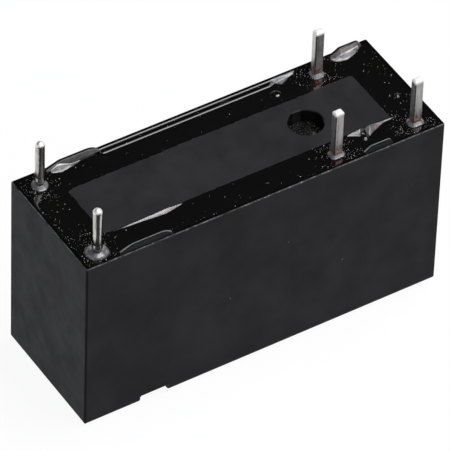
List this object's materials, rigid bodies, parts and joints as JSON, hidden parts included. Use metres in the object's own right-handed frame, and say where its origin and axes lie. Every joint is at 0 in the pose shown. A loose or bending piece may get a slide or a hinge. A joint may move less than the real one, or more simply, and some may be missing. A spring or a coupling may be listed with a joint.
{
  "type": "sealed power relay",
  "caption": "Slim black sealed relay for a circuit board, with round coil pins at one end and flat contact pins at the other, and a changeover contact worked by a card.",
  "frame": {"origin": "centre of the closed face, which the part rests on with its pins up", "axes": "+X along the length from the coil end to the contact end, +Y from the side with two contact pins to the side with one, +Z along the pins towards their tips"},
  "size_m": [0.0286, 0.01, 0.0188],
  "materials": {
    "case_plastic": "moulded black, satin",
    "base_plastic": "moulded black, fine matte",
    "resin": "cast black resin, glossy",
    "bobbin_plastic": "moulded, natural",
    "card_plastic": "moulded, natural",
    "copper_wire": "enamelled copper wire",
    "tape": "polyester tape",
    "plated_iron": "nickel-plated soft iron",
    "spring_bronze": "rolled spring bronze",
    "tinned_pin": "copper alloy, hot-tinned",
    "contact_silver": "silver alloy"
  },
  "bodies": {
    "root": {"cover": "case_plastic", "base": "base_plastic", "edge_seal": "resin", "vent_seal": "resin", "bobbin": "bobbin_plastic", "winding": "copper_wire", "coil_tape": "tape", "core": "plated_iron", "yoke": "plated_iron", "hinge_spring": "spring_bronze", "coil_terminal_front": "tinned_pin", "coil_terminal_back": "tinned_pin", "coil_lead_front": "copper_wire", "coil_lead_back": "copper_wire", "nc_terminal": "tinned_pin", "nc_contact": "contact_silver", "com_terminal": "tinned_pin", "no_terminal": "tinned_pin", "no_contact": "contact_silver"},
    "armature": {"armature": "plated_iron"},
    "card": {"card": "card_plastic"},
    "blade": {"com_spring": "spring_bronze", "moving_contact": "contact_silver"}
  },
  "joints": [
    {"name": "armature_pivot", "type": "hinge", "parent": "root", "child": "armature", "pos_m": [-0.01147, 0, 0.01215], "axis": [0, -1, 0], "range_deg": [0, 3.52], "stiffness_Nm_per_rad": 0.03, "springref_deg": -3.44},
    {"name": "card_slide", "type": "slide", "parent": "root", "child": "card", "axis": [1, 0, 0], "range_m": [0, 0.000622]},
    {"name": "blade_flex", "type": "hinge", "parent": "root", "child": "blade", "pos_m": [0.0091, 0, 0.0104], "axis": [0, -1, 0], "range_deg": [0, 3.95]}
  ],
  "couplings": [
    {"joint": "card_slide", "follows": "armature_pivot", "m_per_rad": 0.010113},
    {"joint": "blade_flex", "follows": "armature_pivot", "ratio": 1.1218}
  ]
}
